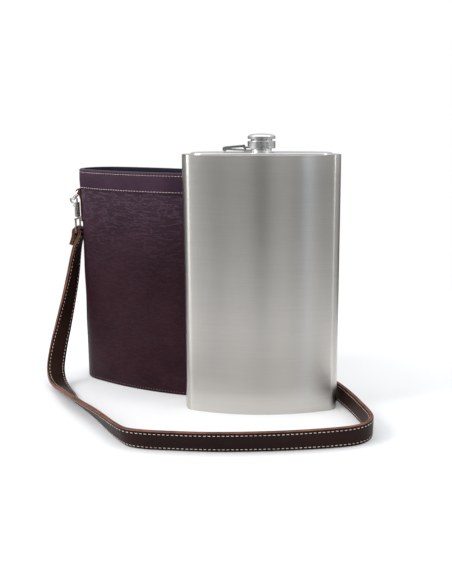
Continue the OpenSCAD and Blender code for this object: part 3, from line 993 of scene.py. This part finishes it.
@dataclass
class Fittings:
    """The nickel-plated D-rings, snap hooks, bolts, springs and swivel eyes."""

    spring_keep: float = 0.425

    def build(self) -> None:
        """Makes both sides' fittings."""
        pieces = (("d_ring", "ring_wire", "ring"), ("hook", "hook_casting", "hook"), ("bolt", "bolt_pin", "bolt"))
        worn = {"hook": (0.22, 3), "bolt": (0.15, 2)}
        for side in Side:
            word = side.word
            for node, name, body in pieces:
                piece = refine(f"{word}_{node}", f"{word}_{name}", f"{word}_{body}", Slot.FITTING, FITTING_NICKEL)
                if node in worn:
                    soften(piece, *worn[node], 45)
            refine(f"{word}_swivel_eye", f"{word}_swivel_wire", "carrier", Slot.FITTING, FITTING_NICKEL)
            self.build_spring(word)

    def build_spring(self, word: str) -> None:
        """The bolt's spring, in a mesh of its own; the real spring shortens as the bolt is pulled, which this copy
        does not do.
        """
        node = f"{word}_spring"
        spring = refine(node, f"{word}_spring_wire", f"{word}_hook", Slot.SPRING, SPRING_STEEL)
        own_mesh(spring)


# ---------------------------------------------------------------- strap


@dataclass(frozen=True)
class Station:
    """One place along the strap: its middle, and the way its width points."""

    x: float
    y: float
    z: float
    yaw: float
    roll: float = 0.0


@dataclass(frozen=True)
class Lying:
    """A place where the strap rests on the ground on its lower edge."""

    x: float
    y: float
    yaw: float
    roll: float


@dataclass
class Strap:
    """The two-layer shoulder strap, with its painted edges and two sewn rows on each face."""

    width: float = 19.0
    thickness: float = 4.2
    seam_in: float = 2.5
    seam_pitch: float = 4.0
    fold_r: float = 3.4
    fold_z: float = 163.0
    hook_out: float = 5.8
    left_wall: tuple[float, float] = (-195.54, 108.21)
    right_wall: tuple[float, float] = (-42.46, 55.79)
    fine: int = 5
    route: list[Station] = field(default_factory=list)
    frames: list[Matrix] = field(default_factory=list)

    def build(self) -> None:
        """Makes the strap's layers and its stitches."""
        self.lay_route()
        self.build_layer("strap_face_leather", "strap_outer", -1, Slot.STRAP_LEATHER, STRAP_LEATHER)
        self.build_layer("strap_back_leather", "strap_inner", 1, Slot.STRAP_LINING, STRAP_LINING)
        self.build_stitches()

    def fold(self, wall: tuple[float, float], side: Side) -> list[Station]:
        """The half turn over a swivel eye's bar."""
        x, y = wall
        yaw, roll = (90, 0) if side is Side.LEFT else (270, 180)
        bar_x = x + side.value * self.hook_out
        return [Station(bar_x - self.fold_r * math.cos(math.radians(a)), y,
                        self.fold_z + self.fold_r * math.sin(math.radians(a)), yaw, roll) for a in range(0, 181, 30)]

    def rest(self, lying: Lying) -> Station:
        """Sets a lying place at the height where its lower edge meets the ground."""
        roll = math.radians(lying.roll)
        z = 0.1 + self.width / 2 * abs(math.sin(roll)) + self.thickness / 2 * abs(math.cos(roll))
        return Station(lying.x, lying.y, z, lying.yaw, lying.roll)

    def lay_route(self) -> None:
        """Lists the route from the left hook, round the front of the flask, to the right hook."""
        down = [(-198.3, 108, 159.3, 88), (-200, 107.9, 154.5, 84), (-202.6, 107.2, 147, 78), (-205, 105.6, 135, 72),
                (-207.2, 103, 120, 65), (-209.7, 100, 105, 59), (-212.5, 96.5, 90, 54), (-215.5, 92.5, 75, 48),
                (-218.5, 88, 60, 41), (-221.5, 82.5, 45, 36), (-223.5, 76, 31, 33), (-223.8, 67.5, 18, 30, 6),
                (-220, 57, 9, 27, 13)]
        ground = [(-212, 42, 24, 19), (-203, 24, 23, 27), (-192, 0, 26, 42), (-181, -17, 29, 48),
                  (-169, -35, 30, 53), (-155, -57, 29, 62), (-141, -80, 30, 69), (-130, -97, 36, 71),
                  (-119, -110, 52, 73), (-103, -116, 75, 76), (-80, -119, 83, 76), (-54, -121.5, 87, 77),
                  (-30, -122, 90, 78), (-5, -121, 93, 79), (20, -119, 96, 80), (45, -115.5, 99, 82),
                  (66, -111.5, 103, 84), (80, -107.5, 110, 86), (91, -101, 128, 87), (98, -91, 152, 88),
                  (100.5, -80, 174, 88), (99.5, -67, 187, 88), (95.5, -47, 193, 88), (89, -19, 194, 88),
                  (80, 12, 198, 90), (70, 31, 213, 90), (56, 45, 230, 94), (38, 54, 247, 106),
                  (20, 58.5, 259, 124), (3, 60, 266, 146), (-10, 60, 268, 162)]
        up = [(-21, 59.5, 7, 269, 170), (-29, 59, 15, 270, 176), (-33, 58.5, 28, 270, 180),
              (-34.5, 58, 45, 270, 180), (-34.8, 57.5, 65, 270, 180), (-34.6, 57, 88, 270, 180),
              (-34.4, 56.5, 112, 270, 180), (-35, 56.2, 132, 270, 180), (-37, 56, 147, 270, 180),
              (-38.9, 56, 154.5, 270, 180), (-39.8, 56, 159.3, 270, 180)]
        self.route = [
            Station(-208.3, 108, 149, 90), Station(-206.3, 108, 154.5, 90), Station(-205, 108, 159.5, 90),
            *self.fold(self.left_wall, Side.LEFT),
            *(Station(*place) for place in down),
            *(self.rest(Lying(*place)) for place in ground),
            *(Station(*place) for place in up),
            *self.fold(self.right_wall, Side.RIGHT),
            Station(-33, 56, 159.5, 270, 180), Station(-31.7, 56, 154.5, 270, 180),
            Station(-29.7, 56, 149, 270, 180),
        ]
        self.frames = self.frames_along(self.smooth_route())

    def smooth_route(self) -> list[tuple[Vector, float, float]]:
        """Passes a smooth curve through the route.

        Returns:
            Fine places along it, each with the yaw and roll of the strap's width.
        """
        last = len(self.route) - 1
        rows = [Vector((s.x, s.y, s.z, s.yaw)) for s in self.route]
        rolls = [s.roll for s in self.route]

        def curve(a: Vector | float, b: Vector | float, c: Vector | float, d: Vector | float,
                  t: float) -> Vector | float:
            """The curve from b to c."""
            return 0.5 * (2 * b + (c - a) * t + (2 * a - 5 * b + 4 * c - d) * t**2 + (3 * b - a - 3 * c + d) * t**3)

        places = []
        for i in range(last):
            near = (max(i - 1, 0), i, i + 1, min(i + 2, last))
            for k in range(self.fine):
                row = curve(*(rows[j] for j in near), k / self.fine)
                places.append((row.xyz, row.w, curve(*(rolls[j] for j in near), k / self.fine)))
        places.append((rows[last].xyz, rows[last].w, rolls[last]))
        return places

    @staticmethod
    def frames_along(places: Sequence[tuple[Vector, float, float]]) -> list[Matrix]:
        """Stands an upright frame at each place: X along the width, Y off the inner face, Z along the strap."""
        frames = []
        for i, (middle, yaw, roll) in enumerate(places):
            ahead, behind = places[min(i + 1, len(places) - 1)][0], places[max(i - 1, 0)][0]
            along = (ahead - behind).normalized()
            tilt, turn = math.radians(roll), math.radians(yaw)
            width = Vector((math.cos(tilt) * math.cos(turn), math.cos(tilt) * math.sin(turn), -math.sin(tilt)))
            width = (width - along * width.dot(along)).normalized()
            axes = Matrix((width, along.cross(width), along)).transposed().to_4x4()
            frames.append(Matrix.Translation(middle) @ axes)
        return frames

    def section(self, face: int) -> list[tuple[float, float]]:
        """The cross-section of one layer, with its seam pressed in and its edge rounded.

        Args:
            face: -1 for the outer layer, 1 for the inner one.

        Returns:
            Points across the width and off the joint between the layers.
        """
        half, deep = self.width / 2, self.thickness / 2
        seam = half - self.seam_in
        right = [(half - 0.35, 0.06), (half, 0.45), (half, deep - 0.95), (half - 0.3, deep - 0.45),
                 (half - 0.9, deep - 0.16), (seam + 0.75, deep - 0.05), (seam, deep - 0.2), (seam - 0.75, deep - 0.03),
                 (half * 0.4, deep)]
        outline = right + [(-x, y) for x, y in reversed(right)]
        return [(x, y * face) for x, y in outline]

    def build_layer(self, name: str, node: str, face: int, slot: Slot, finish: Finish) -> None:
        """Draws one layer's section along the strap.

        Args:
            name: The piece's name.
            node: The node that it stands for.
            face: -1 for the outer layer, 1 for the inner one.
            slot: The slot, which is passed on to publish.
            finish: The leather's finish.
        """
        bm = bmesh.new()
        verts = [bm.verts.new(self.frames[0] @ Vector((x, y, 0))) for x, y in self.section(face)]
        loop = [bm.edges.new((a, b)) for a, b in zip(verts, verts[1:] + verts[:1])]
        close_loop(bm, loop)
        for before, after in zip(self.frames, self.frames[1:]):
            made = bmesh.ops.extrude_edge_only(bm, edges=loop)["geom"]
            fresh = [v for v in made if isinstance(v, BMVert)]
            bmesh.ops.transform(bm, matrix=after @ before.inverted(), verts=fresh)
            loop = [e for e in made if isinstance(e, BMEdge) and e.verts[0] in fresh and e.verts[1] in fresh]
            width = after.col[0].xyz
            for side in (f for f in made if isinstance(f, BMFace)):
                side.normal_update()
                side.material_index = 1 if abs(side.normal.dot(width)) > 0.62 else 0
        close_loop(bm, loop)
        point_outwards(bm)
        publish(bm, name, "carrier", slot, [finish, STRAP_EDGE], [node], 60.0)

    def build_stitches(self) -> None:
        """Sews two rows on each face, at an even pitch along the strap."""
        stitch = Stitch(2.7, 0.55, 0.5)
        half = self.width / 2 - self.seam_in
        spots = list(self.even_frames(self.seam_pitch))[1:-1]
        for face, words in ((-1, "outer"), (1, "inner")):
            for edge, word in ((-1, "first"), (1, "second")):
                bm = bmesh.new()
                draws = random.Random(f"{words} {word}")
                for spot in spots:
                    width, off, along = (spot.col[i].xyz for i in range(3))
                    out = off * face
                    skew = math.radians(draws.uniform(-3, 5))
                    lean = (along * math.cos(skew) + width * math.sin(skew)).normalized()
                    place = spot.translation + width * edge * half + out * (self.thickness / 2 - 0.12)
                    stitch.sew(bm, place, lean, out)
                publish(bm, f"strap_stitches_{words}_{word}", "carrier", Slot.THREAD, [THREAD])

    def even_frames(self, pitch: float) -> Iterable[Matrix]:
        """The strap's frames at even steps along it.

        Args:
            pitch: The step.

        Yields:
            A frame at each step.
        """
        gone = 0.0
        due = pitch / 2
        for before, after in zip(self.frames, self.frames[1:]):
            step = (after.translation - before.translation).length
            while due <= gone + step:
                yield before.lerp(after, (due - gone) / step)
                due += pitch
            gone += step


# ---------------------------------------------------------------- studio


@dataclass(frozen=True)
class Wall:
    """A lighter or darker stretch of the room, for the steel to reflect."""

    azimuth: float
    width: float
    amount: float


@dataclass
class Studio:
    """The camera, the pale floor and the soft lights."""

    eye: tuple[float, float, float] = (-2.4, -809.5, 289.3)
    pitch: float = 12.0
    lens: float = 51.72
    shift: float = -0.0565
    room: float = 0.66
    ceiling: float = 0.34
    far_ground: float = 0.05
    walls: tuple[Wall, ...] = (
        Wall(0.0, 5.0, -0.3), Wall(14.5, 4.5, 0.08), Wall(-17.0, 6.0, 0.02), Wall(-30.0, 5.0, -0.10),
        Wall(28.0, 4.5, -0.12), Wall(38.0, 3.0, 0.06), Wall(-64.0, 14.0, 0.60), Wall(-100.0, 16.0, 0.30),
        Wall(105.0, 28.0, 0.38), Wall(68.0, 10.0, 0.12),
    )

    def build(self) -> None:
        """Sets up everything that isn't part of the object."""
        scene = bpy.context.scene
        scene.view_settings.view_transform = "Standard"
        self.build_camera()
        self.build_floor()
        self.build_world()
        self.add_light("window_left", (-1760, -480, 1250), (-60, 0, 110), (1000, 1300), 28)
        self.add_light("window_right", (1850, -760, 950), (0, 0, 120), (600, 1100), 6)
        self.add_light("ceiling", (100, 200, 1900), (-40, 40, 0), (2600, 2300), 15)

    def build_camera(self) -> None:
        """Stands the camera in front, looking a little down."""
        data = bpy.data.cameras.new("camera")
        data.sensor_width = 36.0
        data.lens = self.lens
        data.shift_x = self.shift
        camera = link_new("camera", data)
        camera.location = Vector(self.eye) * MM
        camera.rotation_euler = (math.radians(90 - self.pitch), 0, 0)
        bpy.context.scene.camera = camera

    def build_floor(self) -> None:
        """Lays a wide pale sheet that turns to plain white away from the object."""
        bm = bmesh.new()
        bmesh.ops.create_grid(bm, x_segments=4, y_segments=4, size=30.0)
        mesh = bpy.data.meshes.new("floor")
        bm.to_mesh(mesh)
        bm.free()
        floor = link_new("floor", mesh)
        material = bpy.data.materials.new("floor_paper")
        graph = clear_graph(material)
        here = graph.node("ShaderNodeTexCoord", output="Object")
        centred = graph.node("ShaderNodeMapping", {}, {"Vector": here, "Location": (0.03, 0.0, 0.0)})
        reach = graph.node("ShaderNodeVectorMath", {"operation": "LENGTH"}, {0: centred}, "Value")
        seen = graph.node("ShaderNodeLightPath", output="Is Camera Ray")
        paper = graph.node("ShaderNodeBsdfDiffuse", {}, {"Color": graph.blend(seen, (0.98, 0.98, 0.98, 1.0),
                                                                             (0.79, 0.79, 0.795, 1.0))})
        x, y, _ = graph.parts(here)
        dusk_wall = self.lit_walls(x, y) * reach.spread(0.2, 0.5, 0.1, 0.75)
        ground = reach.spread(0.36, 0.56, 1.05, self.far_ground) + dusk_wall
        white = graph.node("ShaderNodeEmission", {}, {"Color": (1, 1, 1, 1), "Strength": 1.0})
        dusk = graph.node("ShaderNodeEmission", {}, {"Color": (1, 1, 1, 1), "Strength": ground})
        far = graph.node("ShaderNodeMixShader", {}, {0: seen, 1: dusk, 2: white})
        share = reach.spread(0.25, 0.75, 0.0, 1.0) * seen + reach.spread(0.3, 0.4, 0.0, 1.0) * (1 - seen)
        mixed = graph.node("ShaderNodeMixShader", {}, {0: share, 1: paper, 2: far})
        graph.node("ShaderNodeOutputMaterial", {}, {"Surface": mixed}, None)
        mesh.materials.append(material)

    @staticmethod
    def azimuth(x: Signal, y: Signal) -> Signal:
        """The way towards a place in degrees from the front, with the right positive."""
        return x.math("ARCTAN2", x, 0 - y) * (180 / math.pi)

    def lit_walls(self, x: Signal, y: Signal) -> Signal:
        """How much lighter or darker than the plain room the walls are on the way towards a place."""
        azimuth = self.azimuth(x, y)
        total = azimuth.bell(self.walls[0].azimuth, self.walls[0].width) * self.walls[0].amount
        for wall in self.walls[1:]:
            total = total + azimuth.bell(wall.azimuth, wall.width) * wall.amount
        return total

    def build_world(self) -> None:
        """White behind everything, and a soft room with lighter and darker walls for the reflections."""
        world = bpy.data.worlds.new("studio")
        bpy.context.scene.world = world
        graph = clear_graph(world)
        x, y, z = graph.parts(graph.node("ShaderNodeTexCoord", output="Generated"))
        azimuth = self.azimuth(x, y)
        room = z.spread(0.25, 1.0, self.room, self.room + self.ceiling) + self.lit_walls(x, y)
        pane = azimuth.bell(31.5, 3.2) * z.bell(0.08, 0.14)
        tint = graph.blend(pane, (0.97, 0.985, 1.0, 1.0), (0.66, 0.8, 1.0, 1.0))
        white = graph.node("ShaderNodeBackground", {}, {"Color": (1, 1, 1, 1), "Strength": 1.0})
        soft = graph.node("ShaderNodeBackground", {}, {"Color": tint, "Strength": room + pane * 2.6})
        seen = graph.node("ShaderNodeLightPath", output="Is Camera Ray")
        mixed = graph.node("ShaderNodeMixShader", {}, {0: seen, 1: soft, 2: white})
        graph.node("ShaderNodeOutputWorld", {}, {"Surface": mixed}, None)

    @staticmethod
    def add_light(name: str, at: tuple, towards: tuple, size: tuple, power: float) -> None:
        """Adds a soft box.

        Args:
            name: The light's name.
            at: Where it hangs.
            towards: What it faces.
            size: Its width and height.
            power: Its power in watts.
        """
        data = bpy.data.lights.new(name, "AREA")
        data.shape = "RECTANGLE"
        data.size, data.size_y = size[0] * MM, size[1] * MM
        data.energy = power
        light = link_new(name, data)
        light.location = Vector(at) * MM
        light.rotation_euler = (Vector(towards) - Vector(at)).to_track_quat("-Z", "Y").to_euler()


def main() -> None:
    """Builds the set piece by piece."""
    logging.basicConfig(level=logging.INFO, format="%(name)s: %(message)s")
    Studio().build()
    Strap().build()
    Flask().build()
    Closure().build()
    Carrier().build()
    Fittings().build()


if __name__ == "__main__":
    main()
